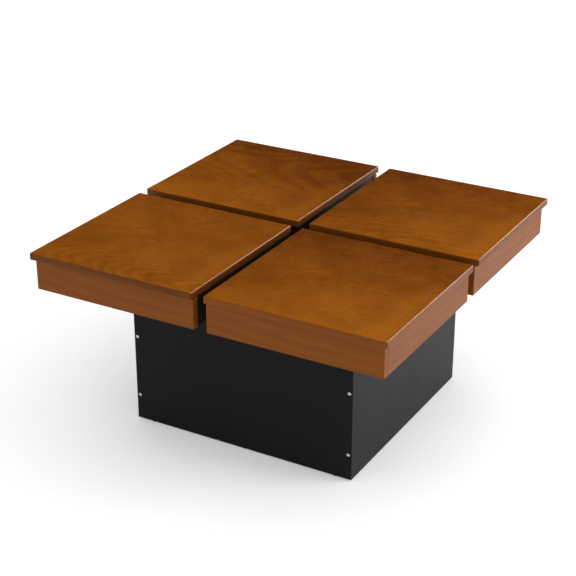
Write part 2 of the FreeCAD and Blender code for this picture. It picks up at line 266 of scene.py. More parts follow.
def stamped_mesh(name, node, radius, materials):
    """A merged copy of a steel CAD node with its edges broken."""
    source = bmesh.new()
    source.from_mesh(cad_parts[node].data)
    bmesh.ops.remove_doubles(source, verts=source.verts, dist=SAME_PLACE)
    bmesh.ops.dissolve_limit(source, angle_limit=math.radians(1.0),
                             verts=source.verts, edges=source.edges)
    blank = mesh_from(source, name + "_blank", materials)
    carrier = bpy.data.objects.new(name + "_blank", blank)
    bpy.context.scene.collection.objects.link(carrier)
    bevel = carrier.modifiers.new("Edges", "BEVEL")
    bevel.width = radius
    bevel.segments = 2
    bevel.limit_method = "ANGLE"
    bevel.angle_limit = math.radians(40.0)
    bevel.harden_normals = False
    finished = evaluated_mesh(carrier, name)
    bpy.data.objects.remove(carrier)
    bpy.data.meshes.remove(blank)
    for polygon in finished.polygons:
        polygon.use_smooth = True
    finished.set_sharp_from_angle(angle=math.radians(35.0))
    return finished


def lathe(profile, steps, name):
    """A closed solid of revolution about Z from (radius, z) points, top first.
    The first and last points are on the axis."""
    bm = bmesh.new()
    rings = []
    for radius, z in profile:
        if radius == 0.0:
            rings.append([bm.verts.new((0.0, 0.0, z))])
            continue
        turns = [2 * math.pi * step / steps for step in range(steps)]
        rings.append([bm.verts.new((radius * math.cos(t), radius * math.sin(t), z))
                      for t in turns])
    for upper, lower in zip(rings, rings[1:]):
        for step in range(steps):
            after = (step + 1) % steps
            if len(upper) == 1:
                corners = (upper[0], lower[step], lower[after])
            elif len(lower) == 1:
                corners = (upper[after], upper[step], lower[0])
            else:
                corners = (upper[after], upper[step], lower[step], lower[after])
            bm.faces.new(corners).smooth = True
    bmesh.ops.recalc_face_normals(bm, faces=bm.faces)
    mesh = mesh_from(bm, name, ())
    mesh.set_sharp_from_angle(angle=math.radians(50.0))
    return mesh


# ---- Nodes -------------------------------------------------------------------------
class Nodes:
    """Short ways to add and join the nodes of one node tree."""

    def __init__(self, tree):
        self.tree = tree

    def add(self, kind, **settings):
        node = self.tree.nodes.new(kind)
        for name, value in settings.items():
            setattr(node, name, value)
        return node

    def feed(self, socket, value):
        if isinstance(value, bpy.types.NodeSocket):
            self.tree.links.new(value, socket)
        else:
            socket.default_value = value

    def step(self, kind, output, inputs, **settings):
        """Add a node, feed its inputs and return one of its outputs."""
        node = self.add(kind, **settings)
        for key, value in inputs.items():
            self.feed(node.inputs[key], value)
        return node.outputs[output]

    def math(self, operation, *values):
        return self.step("ShaderNodeMath", 0, dict(enumerate(values)), operation=operation)

    def vector(self, operation, *values):
        output = "Value" if operation == "DOT_PRODUCT" else "Vector"
        return self.step("ShaderNodeVectorMath", output, dict(enumerate(values)),
                         operation=operation)

    def noise(self, place, scale, detail=2.0, roughness=0.5, distortion=0.0):
        return self.step("ShaderNodeTexNoise", "Fac", {
            "Vector": place, "Scale": scale, "Detail": detail,
            "Roughness": roughness, "Distortion": distortion})

    def stretched(self, place, stretch, *looks):
        """Noise with a scale of its own along each axis."""
        return self.noise(self.vector("MULTIPLY", place, stretch), 1.0, *looks)

    def span(self, value, low, high, start=0.0, end=1.0, kind="SMOOTHSTEP"):
        return self.step("ShaderNodeMapRange", "Result", {
            "Value": value, "From Min": low, "From Max": high,
            "To Min": start, "To Max": end}, interpolation_type=kind)

    def mix(self, factor, *colours):
        """Mix two colours, each a socket or a plain colour."""
        first, second = (colour if isinstance(colour, bpy.types.NodeSocket)
                         else (*colour, 1.0) for colour in colours)
        return self.step("ShaderNodeMix", 2, {"Factor": factor, 6: first, 7: second},
                         data_type="RGBA")

    def group(self, tree, **values):
        node = self.add("ShaderNodeGroup", node_tree=tree)
        for name, value in values.items():
            self.feed(node.inputs[name.replace("_", " ")], value)
        return node.outputs


# ---- Geometry node trees ---------------------------------------------------------
def new_tree(name, inputs):
    """A geometry node tree's helper and its inputs, with a Geometry input before
    the given ones and a Finish input after them."""
    tree = bpy.data.node_groups.new(name, "GeometryNodeTree")
    for label, kind in (("Geometry", "Geometry"), *inputs, ("Finish", "Material")):
        tree.interface.new_socket(label, in_out="INPUT", socket_type="NodeSocket" + kind)
    tree.interface.new_socket("Geometry", in_out="OUTPUT", socket_type="NodeSocketGeometry")
    make = Nodes(tree)
    return make, make.add("NodeGroupInput").outputs


def finish_tree(make, given, shape):
    """End a tree in Realize Instances and Set Material, fed by its Finish input."""
    real = make.step("GeometryNodeRealizeInstances", "Geometry", {"Geometry": shape})
    painted = make.step("GeometryNodeSetMaterial", "Geometry",
                        {"Geometry": real, "Material": given["Finish"]})
    make.feed(make.add("NodeGroupOutput").inputs["Geometry"], painted)
    return make.tree


def copies_tree():
    """A copy of one part on every point, turned to face along the point's own
    direction, each with its own small turn about it."""
    inputs = (("Part", "Object"), ("Turn", "Float"), ("Seed", "Int"))
    make, given = new_tree("Copies on seats", inputs)
    part = make.step("GeometryNodeObjectInfo", "Geometry", {"Object": given["Part"]})
    facing = make.step("GeometryNodeInputNamedAttribute", "Attribute", {"Name": "facing"},
                       data_type="FLOAT_VECTOR")
    aligned = make.step("FunctionNodeAlignRotationToVector", "Rotation",
                        {"Vector": facing}, axis="Z")
    angle = make.step("FunctionNodeRandomValue", 1,
                      {3: given["Turn"], "Seed": given["Seed"]}, data_type="FLOAT")
    spin = make.step("FunctionNodeAxisAngleToRotation", "Rotation",
                     {"Axis": (0.0, 0.0, 1.0), "Angle": angle})
    turned = make.step("FunctionNodeRotateRotation", "Rotation",
                       {"Rotation": aligned, "Rotate By": spin}, rotation_space="LOCAL")
    placed = make.step("GeometryNodeInstanceOnPoints", "Instances", {
        "Points": given["Geometry"], "Instance": part, "Rotation": turned})
    return finish_tree(make, given, placed)


def wire_tree():
    """A round wire along each curve."""
    inputs = (("Wire Radius", "Float"), ("Sides", "Int"))
    make, given = new_tree("Wire along a path", inputs)
    ring = make.step("GeometryNodeCurvePrimitiveCircle", "Curve",
                     {"Resolution": given["Sides"], "Radius": given["Wire Radius"]})
    wire = make.step("GeometryNodeCurveToMesh", "Mesh", {
        "Curve": given["Geometry"], "Profile Curve": ring, "Fill Caps": True})
    smooth = make.step("GeometryNodeSetShadeSmooth", "Geometry", {"Geometry": wire})
    return finish_tree(make, given, smooth)


def shared_tree(name, build):
    """A tree that is built the first time it is asked for."""
    return bpy.data.node_groups.get(name) or build()


def run_tree(data, tree, values, name):
    """Run a tree on a mesh or curve and return the plain mesh that it makes."""
    carrier = bpy.data.objects.new(name, data)
    bpy.context.scene.collection.objects.link(carrier)
    modifier = carrier.modifiers.new(tree.name, "NODES")
    modifier.node_group = tree
    for item in tree.interface.items_tree:
        if item.in_out == "INPUT" and item.name in values:
            modifier[item.identifier] = values[item.name]
    mesh = evaluated_mesh(carrier, name)
    carrier.modifiers.remove(modifier)
    bpy.data.objects.remove(carrier)
    return mesh


def copies(name, part, seats, material, turn=0.0, seed=1):
    """A mesh of copies of a part on seats, which are (place, facing) pairs."""
    points = bpy.data.meshes.new(name + "_seats")
    points.from_pydata([place for place, facing in seats], [], [])
    facing = points.attributes.new("facing", "FLOAT_VECTOR", "POINT")
    for item, (place, way) in zip(facing.data, seats):
        item.vector = way
    holder = bpy.data.objects.new(name + "_part", part)
    bpy.context.scene.collection.objects.link(holder)
    tree = shared_tree("Copies on seats", copies_tree)
    values = {"Part": holder, "Turn": turn, "Seed": seed, "Finish": material}
    mesh = run_tree(points, tree, values, name)
    bpy.data.objects.remove(holder)
    return mesh


def wires(name, paths, radius, material, sides):
    """A mesh of round wires along lists of points."""
    curve = bpy.data.curves.new(name, "CURVE")
    curve.dimensions = "3D"
    for path in paths:
        spline = curve.splines.new("POLY")
        spline.points.add(len(path) - 1)
        for point, place in zip(spline.points, path):
            point.co = (*place, 1.0)
    tree = shared_tree("Wire along a path", wire_tree)
    values = {"Wire Radius": radius, "Sides": sides, "Finish": material}
    return run_tree(curve, tree, values, name)


# ---- Shader node groups ------------------------------------------------------------
def shader_group(name, inputs, outputs):
    """A new shader node group, its helper, its input sockets and its output node."""
    tree = bpy.data.node_groups.new(name, "ShaderNodeTree")
    for label, kind, default in inputs:
        socket = tree.interface.new_socket(label, in_out="INPUT",
                                           socket_type="NodeSocket" + kind)
        if default is not None:
            socket.default_value = default
    for label in outputs:
        tree.interface.new_socket(label, in_out="OUTPUT", socket_type="NodeSocketFloat")
    make = Nodes(tree)
    return make, make.add("NodeGroupInput").outputs, make.add("NodeGroupOutput").inputs


def veneer_group():
    """Grain of a sliced veneer. X runs along the log, whose heart lies above the
    board and dips along it, so that the rings come out as long arches."""
    make, given, out = shader_group("Veneer grain", (
        ("Place", "Vector", None),
        ("Heart", "Vector", (0.0, 0.0, 0.0)),
        ("Dip", "Float", 0.12),
        ("Rings", "Float", 95.0),
        ("Waver", "Float", 0.03),
    ), ("Figure", "Fibre", "Pores", "Cloud"))
    place = given["Place"]
    drift = make.stretched(place, (1.4, 6.0, 6.0), 3.0, 0.5)
    lift = make.stretched(place, (2.6, 2.6, 2.6), 2.0, 0.5)
    axes = make.add("ShaderNodeSeparateXYZ")
    make.feed(axes.inputs[0], make.vector("SUBTRACT", place, given["Heart"]))
    sway = make.math("MULTIPLY", make.math("SUBTRACT", drift, 0.5), given["Waver"])
    rise = make.math("MULTIPLY", make.math("SUBTRACT", lift, 0.5), given["Waver"])
    across = make.math("ADD", axes.outputs["Y"], sway)
    depth = make.math("MULTIPLY_ADD", axes.outputs["X"], given["Dip"], axes.outputs["Z"])
    depth = make.math("ADD", depth, make.math("MULTIPLY", rise, 2.0))
    reach = make.math("SQRT", make.math("ADD", make.math("POWER", across, 2.0),
                                        make.math("POWER", depth, 2.0)))
    count = make.math("MULTIPLY", reach, given["Rings"])
    ring = make.math("FRACT", count)
    early = make.span(ring, 0.0, 0.72)
    late = make.span(ring, 0.86, 1.0, 1.0, 0.0)
    make.feed(out["Figure"], make.math("MULTIPLY", early, late))
    fine = make.stretched(place, (9.0, 420.0, 420.0), 3.0, 0.6)
    broad = make.stretched(place, (9.0, 120.0, 120.0), 3.0, 0.6)
    make.feed(out["Fibre"], make.math("MULTIPLY_ADD", fine, 0.45,
                                      make.math("MULTIPLY", broad, 0.55)))
    dashes = make.stretched(place, (120.0, 1500.0, 1500.0), 1.0)
    make.feed(out["Pores"], make.span(dashes, 0.60, 0.70))
    cloud = make.stretched(place, (9.0, 9.0, 9.0), 4.0, 0.6, 0.8)
    patch = make.stretched(place, (34.0, 44.0, 44.0), 4.0, 0.65, 0.8)
    make.feed(out["Cloud"], make.math("MULTIPLY_ADD", cloud, 0.55,
                                      make.math("MULTIPLY", patch, 0.45)))
    return make.tree


def edge_group():
    """How near a point of a board is to the board's nearest edge, broken up."""
    make, given, out = shader_group("Edge nearness", (
        ("Place", "Vector", None),
        ("Reach", "Float", 0.004),
        ("Breakup", "Float", 0.5),
        ("Shade Way", "Vector", (0.0, 0.0, 0.0)),
    ), ("Edge", "Shade"))
    local = make.add("ShaderNodeAttribute", attribute_name="board_place")
    half = make.add("ShaderNodeAttribute", attribute_name="board_half")
    gap = make.vector("SUBTRACT", half.outputs["Vector"],
                      make.vector("ABSOLUTE", local.outputs["Vector"]))
    axes = make.add("ShaderNodeSeparateXYZ")
    make.feed(axes.inputs[0], gap)
    x, y, z = axes.outputs
    low = make.math("MINIMUM", x, y)
    high = make.math("MAXIMUM", x, y)
    middle = make.math("MAXIMUM", low, make.math("MINIMUM", high, z))
    patch = make.noise(given["Place"], 60.0, 3.0, 0.6)
    broken = make.math("MULTIPLY", given["Breakup"], make.math("SUBTRACT", patch, 0.5))
    reach = make.math("MULTIPLY_ADD", broken, given["Reach"], middle)
    make.feed(out["Edge"], make.span(reach, 0.0, given["Reach"], 1.0, 0.0))
    share = make.vector("DIVIDE", local.outputs["Vector"], half.outputs["Vector"])
    make.feed(out["Shade"], make.vector("DOT_PRODUCT", share, given["Shade Way"]))
    return make.tree


def fine_group():
    """The fine pearl of a lacquer or a powder coat, and a thin uneven film."""
    make, given, out = shader_group("Fine surface", (
        ("Place", "Vector", None),
        ("Pearl", "Float", 900.0),
        ("Film", "Float", 9.0),
    ), ("Pearl", "Film"))
    make.feed(out["Pearl"], make.noise(given["Place"], given["Pearl"], 2.0, 0.5))
    film = make.noise(given["Place"], given["Film"], 4.0, 0.6)
    make.feed(out["Film"], make.span(film, 0.35, 0.68))
    return make.tree


def new_material(name):
    """A material with only a Principled shader, and its helper."""
    material = bpy.data.materials.new(name)
    material.use_nodes = True
    material.node_tree.nodes.clear()
    make = Nodes(material.node_tree)
    shader = make.add("ShaderNodeBsdfPrincipled")
    output = make.add("ShaderNodeOutputMaterial")
    make.feed(output.inputs["Surface"], shader.outputs["BSDF"])
    place = make.add("ShaderNodeTexCoord").outputs["Object"]
    return material, make, shader, place


def bump(make, shader, height, distance):
    """Feed a height to the shader's normal."""
    normal = make.step("ShaderNodeBump", "Normal", {"Height": height, "Distance": distance})
    make.feed(shader.inputs["Normal"], normal)


def veneer(name, colours, turn, centre, cut):
    """A lacquered veneer. turn is the grain's direction, as a rotation, about
    centre; cut says where the veneer was sliced and how it was stained."""
    material, make, shader, place = new_material(name)
    wood = bpy.context.scene.lifttable_wood
    place = make.step("ShaderNodeMapping", "Vector", {
        "Vector": place, "Location": centre, "Rotation": turn}, vector_type="TEXTURE")
    grain = make.group(shared_tree("Veneer grain", veneer_group), Place=place,
                       Heart=cut.heart, Dip=cut.dip, Rings=wood.ring_density)
    edge = make.group(shared_tree("Edge nearness", edge_group), Place=place,
                      Shade_Way=cut.shade)
    fine = make.group(shared_tree("Fine surface", fine_group), Place=place)
    dark, ground, light = colours
    tone = make.math("SUBTRACT", cut.tone, edge["Shade"])
    for mark, depth in (("Cloud", cut.mottle), ("Fibre", cut.streak), ("Figure", cut.figure)):
        tone = make.math("MULTIPLY_ADD", grain[mark], depth,
                         make.math("SUBTRACT", tone, depth / 2))
    base = make.mix(make.span(tone, 0.0, 0.5, kind="LINEAR"), dark, ground)
    base = make.mix(make.span(tone, 0.5, 1.0, kind="LINEAR"), base, light)
    base = make.mix(make.math("MULTIPLY", grain["Pores"], 0.30), base, dark)
    # Darker within a few millimetres of every edge: partly burnished edges, partly painted shade on
    # the roundings and beside the gaps.
    base = make.mix(make.math("MULTIPLY", edge["Edge"], 0.30), base, dark)
    make.feed(shader.inputs["Base Color"], base)
    rough = make.math("MULTIPLY_ADD", fine["Film"], 0.06, cut.gloss)
    rough = make.math("MULTIPLY_ADD", grain["Pores"], 0.10, rough)
    make.feed(shader.inputs["Roughness"], rough)
    shader.inputs["Specular IOR Level"].default_value = cut.sheen
    height = make.math("MULTIPLY_ADD", grain["Pores"], -0.6, grain["Fibre"])
    height = make.math("MULTIPLY_ADD", fine["Pearl"], 0.25, height)
    bump(make, shader, height, 0.00005)
    return material


def laminate(name, black, sheen):
    """Black melamine: a fine pearl, an uneven film and rubbed edges."""
    material, make, shader, place = new_material(name)
    looks = bpy.context.scene.lifttable_base
    fine = make.group(shared_tree("Fine surface", fine_group), Place=place, Pearl=1400.0)
    edge = make.group(shared_tree("Edge nearness", edge_group), Place=place,
                      Reach=0.0025, Breakup=1.4)["Edge"]
    base = make.mix(make.math("MULTIPLY", edge, 0.6), black, looks.worn)
    base = make.mix(make.math("MULTIPLY", fine["Film"], 0.05), base, looks.worn)
    make.feed(shader.inputs["Base Color"], base)
    make.feed(shader.inputs["Roughness"], make.math("MULTIPLY_ADD", fine["Film"], 0.04, 0.36))
    shader.inputs["Specular IOR Level"].default_value = sheen
    bump(make, shader, fine["Pearl"], 0.00005)
    return material


def coating(name, colours, mottle, roughness, spread, pearl, film, depth, metallic=0.0):
    """A coat whose uneven film lies between two colours, with a fine pearl."""
    material, make, shader, place = new_material(name)
    fine = make.group(shared_tree("Fine surface", fine_group), Place=place,
                      Pearl=pearl, Film=film)
    base = make.mix(make.math("MULTIPLY", fine["Film"], mottle), *colours)
    make.feed(shader.inputs["Base Color"], base)
    shader.inputs["Metallic"].default_value = metallic
    make.feed(shader.inputs["Roughness"],
              make.math("MULTIPLY_ADD", fine["Film"], spread, roughness))
    bump(make, shader, fine["Pearl"], depth)
    return material


def powder_coat(name):
    """Black powder coat on stamped steel, with its orange peel."""
    paint = bpy.context.scene.lifttable_metal.paint
    return coating(name, (paint, (0.04, 0.04, 0.04)), mottle=0.3, roughness=0.38,
                   spread=0.12, pearl=1100.0, film=40.0, depth=0.00012)


def plated(name, colour, roughness):
    """Bright plated steel with a faint cloud and tumbling marks."""
    dull = tuple(0.72 * part for part in colour)
    return coating(name, (colour, dull), mottle=0.6, roughness=roughness, spread=0.14,
                   pearl=2500.0, film=260.0, depth=0.00002, metallic=1.0)


def moulded(name, colour, roughness):
    """Moulded rubber or nylon with a faint bloom."""
    bloom = tuple(0.05 + part for part in colour)
    return coating(name, (colour, bloom), mottle=0.4, roughness=roughness, spread=0.12,
                   pearl=1800.0, film=120.0, depth=0.00004)


def finish(name, build, *given):
    """A material that is built the first time it is asked for."""
    return bpy.data.materials.get(name) or build(name, *given)


def black_melamine():
    black = bpy.context.scene.lifttable_base.black
    return finish("Black melamine", laminate, black, 0.10)


# Black melamine with a painted reflection of the wood's light, lighter and browner than the base.
def tray_lining():
    black = bpy.context.scene.lifttable_base.lining
    return finish("Tray lining", laminate, black, 0.08)


def black_steel():
    return finish("Black powder coat", powder_coat)


def zinc():
    colour = tuple(bpy.context.scene.lifttable_metal.zinc)
    return finish("Zinc plate", plated, colour, 0.26)


def side_colours():
    wood = bpy.context.scene.lifttable_wood
    return wood.side_dark, wood.side_mid, wood.side_light


def top_colours():
    wood = bpy.context.scene.lifttable_wood
    return wood.top_dark, wood.top_mid, wood.top_light


class Cut:
    """How a sheet of veneer was sliced and finished: the log's heart from the
    board's middle, how steeply it dips along the board, the way and the depth of
    the stain's shading, and the strength of each mark in it."""

    def __init__(self, heart, dip, shade=(0.0, 0.0, 0.0), tone=0.5, mottle=1.5,
                 streak=0.35, figure=0.2, gloss=0.24, sheen=0.22):
        self.heart, self.dip, self.shade, self.tone = heart, dip, shade, tone
        self.mottle, self.streak, self.figure = mottle, streak, figure
        self.gloss, self.sheen = gloss, sheen


LID_CUTS = {
    "front_left": Cut((0.16, -0.17, 0.05), 0.26, (-0.02, 0.08, 0.0), 0.56,
                      figure=0.22),
    "front_right": Cut((0.05, 0.30, 0.16), 0.10, (-0.12, 0.34, 0.0), 0.45),
    "back_left": Cut((0.02, 0.08, 0.24), 0.12, (0.10, 0.36, 0.0), 0.40),
    "back_right": Cut((0.15, -0.22, 0.19), 0.08, (-0.18, 0.24, 0.0), 0.42,
                      streak=0.5),
}
# Painted shade on each lid's edge band: the boards' veneer colours scaled down per lid, darkest on
# the front-left lid.
LID_EDGE_PAINTED_SHADE = {"front_left": 0.62, "front_right": 0.95, "back_left": 0.75, "back_right": 0.75}
BOARD_CUT = Cut((0.02, 0.11, 0.07), 0.05, mottle=0.35, streak=1.1, figure=0.15,
                gloss=0.34, sheen=0.10)


# ---- Turned and bent hardware -----------------------------------------------------
SCREW_HEAD = 4.0 * MM
RIVET_HEAD, RIVET_HEIGHT, RIVET_SHANK = 7.0 * MM, 2.2 * MM, 4.0 * MM
STUD_HEAD, STUD_HEIGHT, STUD_SHANK = 4.5 * MM, 1.5 * MM, 3.0 * MM
PIN_RADIUS, PIN_CHAMFER = 3.0 * MM, 0.5 * MM

# An extension spring: outside radii of its end rings and its coil, and how far its first
# whole turn is from the stud.
RING_RADIUS, COIL_RADIUS, COIL_START = 4.7 * MM, 4.6 * MM, 6.3 * MM
TURN_STEPS = 16


def seats_of(node, way=None):
    """For each solid of a CAD node: the middle of its widest end, the way that
    end faces, and the solid's length along that way."""
    seats = []
    for solid in solids_of(node):
        low, high = span(solid)
        size, middle = high - low, (low + high) / 2
        axis = max(range(3), key=lambda a: abs(size[a] - sorted(size)[1]))
        widest = max(solid.verts, key=lambda v: round(
            (v.co - middle).length_squared - (v.co - middle)[axis] ** 2, 9))
        sign = 1.0 if widest.co[axis] > middle[axis] else -1.0
        faces = way or Vector(sign if a == axis else 0.0 for a in range(3))
        seats.append((middle + faces * size[axis] / 2, faces, size[axis]))
        solid.free()
    return sorted(seats, key=lambda seat: tuple(round(c, 5) for c in seat[0]))


def cross_screw(radius, height, length, name):
    """A pan-head screw with a cross recess. Its top is at z = 0."""
    shape = ((0.0, 0.0), (0.16, 0.0), (0.30, -0.02), (0.44, -0.05), (0.56, -0.09),
             (0.80, -0.26), (0.94, -0.52), (1.0, -0.85), (1.0, -1.0), (0.5, -1.0))
    profile = [(radius * r, height * z) for r, z in shape]
    profile += [(radius / 2, radius / 2 - length), (0.0, -length)]
    screw = lathe(profile, 32, name)
    recess_reach, recess_arm, recess_depth = 0.5, 0.2, 0.6
    for vert in screw.vertices:
        reach = math.hypot(vert.co.x, vert.co.y) / radius
        turn = math.atan2(vert.co.y, vert.co.x)
        off_arm = abs(math.sin(2 * turn)) * reach
        on_top = vert.co.z > -0.5 * height
        if on_top and reach < recess_reach and off_arm < recess_arm:
            vert.co.z -= height * recess_depth * (1.0 - reach)
    return screw


def rivet(head, height, shank, length, both, name):
    """A domed rivet whose top is at z = 0, with a second head if it has both."""
    domed = 0.75 * height
    dome = [(head * math.sin(t), domed * math.cos(t) - domed)
            for t in (QUARTER_TURN * step / 5 for step in range(6))]
    profile = dome + [(head, -height), (shank, -height)]
    if both:
        profile += [(radius, -length - z) for radius, z in reversed(profile)]
    else:
        profile += [(shank, -length), (0.0, -length)]
    return lathe(profile, 28, name)


def place_copies(node, body, part, seats, material, seed=1, turn=0.0):
    """Copies of a part in place of a CAD node."""
    mesh = copies(node + "_made", part, [seat[:2] for seat in seats], material,
                  turn=turn, seed=seed)
    return add_piece(mesh, body, (node,))


def place_screws(node, body, height, seed):
    """Screws where a CAD node has its screws."""
    seats = seats_of(node)
    part = cross_screw(SCREW_HEAD, height, seats[0][2], "screw")
    return place_copies(node, body, part, seats, zinc(), seed, QUARTER_TURN)


def spring_end(centre, along, up, side, ring, coil):
    """Points of an end ring, from its free end round to the first coil."""
    points = []
    gap = math.radians(50.0)
    for step in range(TURN_STEPS + 1):
        turn = gap + (2 * math.pi - gap) * step / TURN_STEPS
        points.append(centre + ring * (math.cos(turn) * along + math.sin(turn) * up))
    lead_steps = 4
    for step in range(1, lead_steps + 1):
        part = step / lead_steps
        out = coil * math.sin(QUARTER_TURN * part)
        turn = QUARTER_TURN * part
        points.append(centre + along * (ring + (COIL_START - ring) * part)
                      + out * (math.cos(turn) * up + math.sin(turn) * side))
    return points


def spring_path(tail, anchor, coil, ring, turns):
    """The wire of an extension spring between the middles of its two studs."""
    along = (anchor - tail).normalized()
    up, side = Vector((0.0, 0.0, 1.0)), Vector((1.0, 0.0, 0.0))
    first = spring_end(tail, along, up, side, ring, coil)
    last = spring_end(anchor, -along, -up, side, ring, coil)
    start = tail + along * COIL_START
    length = (anchor - tail).length - 2 * COIL_START
    middle = []
    for step in range(1, turns * TURN_STEPS):
        turn = QUARTER_TURN + 2 * math.pi * step / TURN_STEPS
        middle.append(start + along * length * step / (turns * TURN_STEPS)
                      + coil * (math.cos(turn) * up + math.sin(turn) * side))
    return first + middle + last[::-1]


# ---- Floor, lights and camera -------------------------------------------------------
FLOOR_SIZE = 60.0
KEY_PLACE, KEY_AIM, KEY_SIZE = (2.6, 0.9, 1.35), (0.0, 0.0, 0.25), 1.6
WINDOW_WAY = (0.50, 0.72, 0.48)
WINDOW_OUTSIDE, WINDOW_INSIDE = 0.80, 0.93
DARK_ROOM = 0.01
WHITE = (1.0, 1.0, 1.0, 1.0)


def add_floor(scene):
    """A plain pale floor under the table."""
    bm = bmesh.new()
    bmesh.ops.create_grid(bm, x_segments=1, y_segments=1, size=FLOOR_SIZE / 2)
    material, _, shader, _ = new_material("Pale floor")
    shader.inputs["Base Color"].default_value = (*scene.lifttable_stage.floor, 1.0)
    shader.inputs["Specular IOR Level"].default_value = 0.0
    shader.inputs["Emission Color"].default_value = WHITE
    shader.inputs["Emission Strength"].default_value = scene.lifttable_stage.glow
    floor = bpy.data.objects.new("floor", mesh_from(bm, "floor", [material]))
    scene.collection.objects.link(floor)


def add_light(name, place, aim, size, power):
    """A square soft light that looks at a point."""
    lamp = bpy.data.lights.new(name, "AREA")
    lamp.size = size
    lamp.energy = power
    light = bpy.data.objects.new(name, lamp)
    bpy.context.scene.collection.objects.link(light)
    light.location = place
    light.rotation_euler = (Vector(aim) - Vector(place)).to_track_quat("-Z", "Y").to_euler()


def add_world(scene):
    """Even light, a white backdrop, and darker surroundings in reflections."""
    world = bpy.data.worlds.new("Studio")
    world.use_nodes = True
    world.node_tree.nodes.clear()
    make = Nodes(world.node_tree)
    way = make.add("ShaderNodeTexCoord").outputs["Generated"]
    window = make.vector("DOT_PRODUCT", way, WINDOW_WAY)
    shown = make.span(window, WINDOW_OUTSIDE, WINDOW_INSIDE, DARK_ROOM,
                      scene.lifttable_stage.window)
    path = make.add("ShaderNodeLightPath")
    even = scene.lifttable_stage.ambient
    strength = make.math("MULTIPLY_ADD", path.outputs["Is Glossy Ray"],
                         make.math("SUBTRACT", shown, even), even)
    seen = make.math("SUBTRACT", 1.0, path.outputs["Is Camera Ray"])
    strength = make.math("MULTIPLY_ADD", make.math("SUBTRACT", strength, 1.0), seen, 1.0)
    light = make.step("ShaderNodeBackground", "Background",
                      {"Color": WHITE, "Strength": strength})
    make.feed(make.add("ShaderNodeOutputWorld").inputs["Surface"], light)
    world.cycles.sampling_method = "NONE"
    scene.world = world


def add_camera(scene):
    """A long lens from the front right, a little above the table."""
    azimuth, elevation, distance = math.radians(29.62), math.radians(24.93), 3.2
    aim = Vector((-0.004, -0.046, 0.295))
    away = Vector((math.sin(azimuth) * math.cos(elevation),
                   -math.cos(azimuth) * math.cos(elevation), math.sin(elevation)))
    lens = bpy.data.cameras.new("camera")
    lens.lens = 91.3
    lens.sensor_width = 36.0
    camera = bpy.data.objects.new("camera", lens)
    scene.collection.objects.link(camera)
    camera.location = aim + away * distance
    camera.rotation_euler = Euler((math.pi / 2 - elevation, 0.0, azimuth))
    scene.camera = camera


# ---- Operators --------------------------------------------------------------------------
class LIFTTABLE_OT_lids(bpy.types.Operator):
    """Make the four veneered lids"""
    bl_idname = "lifttable.lids"
    bl_label = "Lids"

    def execute(self, context):
        wood = context.scene.lifttable_wood
        for quadrant in QUADRANTS:
            low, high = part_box(quadrant + "_lid")
            middle = (low + high) / 2
            flat = (0.0, 0.0, 0.0)
            top = veneer(quadrant + " lid veneer", top_colours(), flat, middle,
                         LID_CUTS[quadrant])
            # The edge band is the boards' veneer, darkened by the lid's painted shade factor.
            painted_shade_band_colours = [Vector(colour) * LID_EDGE_PAINTED_SHADE[quadrant] for colour in side_colours()]
            band = veneer(quadrant + " lid band", painted_shade_band_colours, flat, middle, BOARD_CUT)
            mesh = board_mesh(quadrant + "_lid_board", [(low, high)], wood.lid_round,
                              [top, band], 0, 1)
            add_piece(mesh, quadrant + "_lid",
                      (quadrant + "_lid",))
        return {"FINISHED"}


class LIFTTABLE_OT_tray_boards(bpy.types.Operator):
    """Make the veneered outer boards of the four trays"""
    bl_idname = "lifttable.tray_boards"
    bl_label = "Tray boards"

    def execute(self, context):
        wood = context.scene.lifttable_wood
        turns = {"face_board": (0.0, 0.0, 0.0), "side_board": (0.0, 0.0, QUARTER_TURN)}
        for quadrant in QUADRANTS:
            for board, turn in turns.items():
                node = quadrant + "_" + board
                low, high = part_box(node)
                middle = (low + high) / 2
                finish_name = node.replace("_", " ") + " veneer"
                material = veneer(finish_name, side_colours(), turn, middle, BOARD_CUT)
                mesh = board_mesh(node + "_veneered", [(low, high)], wood.board_round,
                                  [material])
                add_piece(mesh, "root", (node,))
        return {"FINISHED"}


class LIFTTABLE_OT_tray_carcass(bpy.types.Operator):
    """Make the dark inner walls and the bottoms of the four trays"""
    bl_idname = "lifttable.tray_carcass"
    bl_label = "Tray carcasses"

    def execute(self, context):
        radius = context.scene.lifttable_base.panel_round
        for quadrant in QUADRANTS:
            walls, bottom = quadrant + "_inner_walls", quadrant + "_tray_bottom"
            low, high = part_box(walls)
            boards = {walls: corner_walls(low, high, WALL_THICK), bottom: [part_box(bottom)]}
            for node, boxes in boards.items():
                mesh = board_mesh(node + "_faced", boxes, radius, [tray_lining()])
                add_piece(mesh, "root", (node,))
        return {"FINISHED"}


class LIFTTABLE_OT_base(bpy.types.Operator):
    """Make the black panels of the base"""
    bl_idname = "lifttable.base"
    bl_label = "Base panels"

    def execute(self, context):
        radius = context.scene.lifttable_base.panel_round
        for side in ("front", "back", "left", "right", "top"):
            node = "base_" + side + "_panel"
            mesh = board_mesh(node + "_faced", [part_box(node)], radius, [black_melamine()])
            add_piece(mesh, "root", (node,))
        return {"FINISHED"}


class LIFTTABLE_OT_linkage(bpy.types.Operator):
    """Make the arms and brackets of the lift linkages"""
    bl_idname = "lifttable.linkage"
    bl_label = "Arms and brackets"

    def execute(self, context):
        radius = context.scene.lifttable_metal.bend
        bodies = {"_front_arms": "_front_arms", "_rear_arms": "_rear_arms",
                  "_lid_brackets": "_lid", "_hinge_brackets": None}
        for quadrant in QUADRANTS:
            for part, body in bodies.items():
                node = quadrant + part
                mesh = stamped_mesh(node + "_coated", node, radius, [black_steel()])
                rides_on = quadrant + body if body else "root"
                add_piece(mesh, rides_on, (node,))
        return {"FINISHED"}


